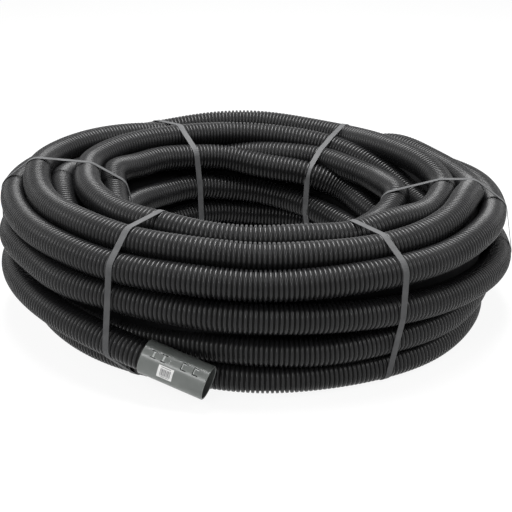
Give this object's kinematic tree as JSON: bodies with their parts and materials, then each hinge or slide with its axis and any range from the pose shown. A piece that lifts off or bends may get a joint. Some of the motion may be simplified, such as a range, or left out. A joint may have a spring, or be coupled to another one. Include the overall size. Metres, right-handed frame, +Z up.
{
  "type": "corrugated drainage pipe coil",
  "caption": "Coil of ribbed black drainage pipe lying flat, tied round with flat straps, with a smooth push-fit coupler on its free end.",
  "frame": {"origin": "the middle of the underside of the whole part's box, close to the coil's axis, on the floor", "axes": "+Z up along the coil's axis, +X the way the coupler's mouth points seen from above, -Y the side that the coupler lies on"},
  "size_m": [0.9298, 0.9344, 0.2693],
  "materials": {
    "pipe_plastic": "black polyethylene with a soft shine on its ribs",
    "coupler_plastic": "smooth grey-green moulded plastic",
    "strapping": "dark grey polypropylene strapping"
  },
  "bodies": {
    "root": {"coiled_pipe": "pipe_plastic", "free_end": "pipe_plastic", "coupler": "coupler_plastic", "strap_1": "strapping", "strap_2": "strapping", "strap_3": "strapping", "strap_4": "strapping", "strap_5": "strapping", "strap_6": "strapping"}
  },
  "joints": []
}
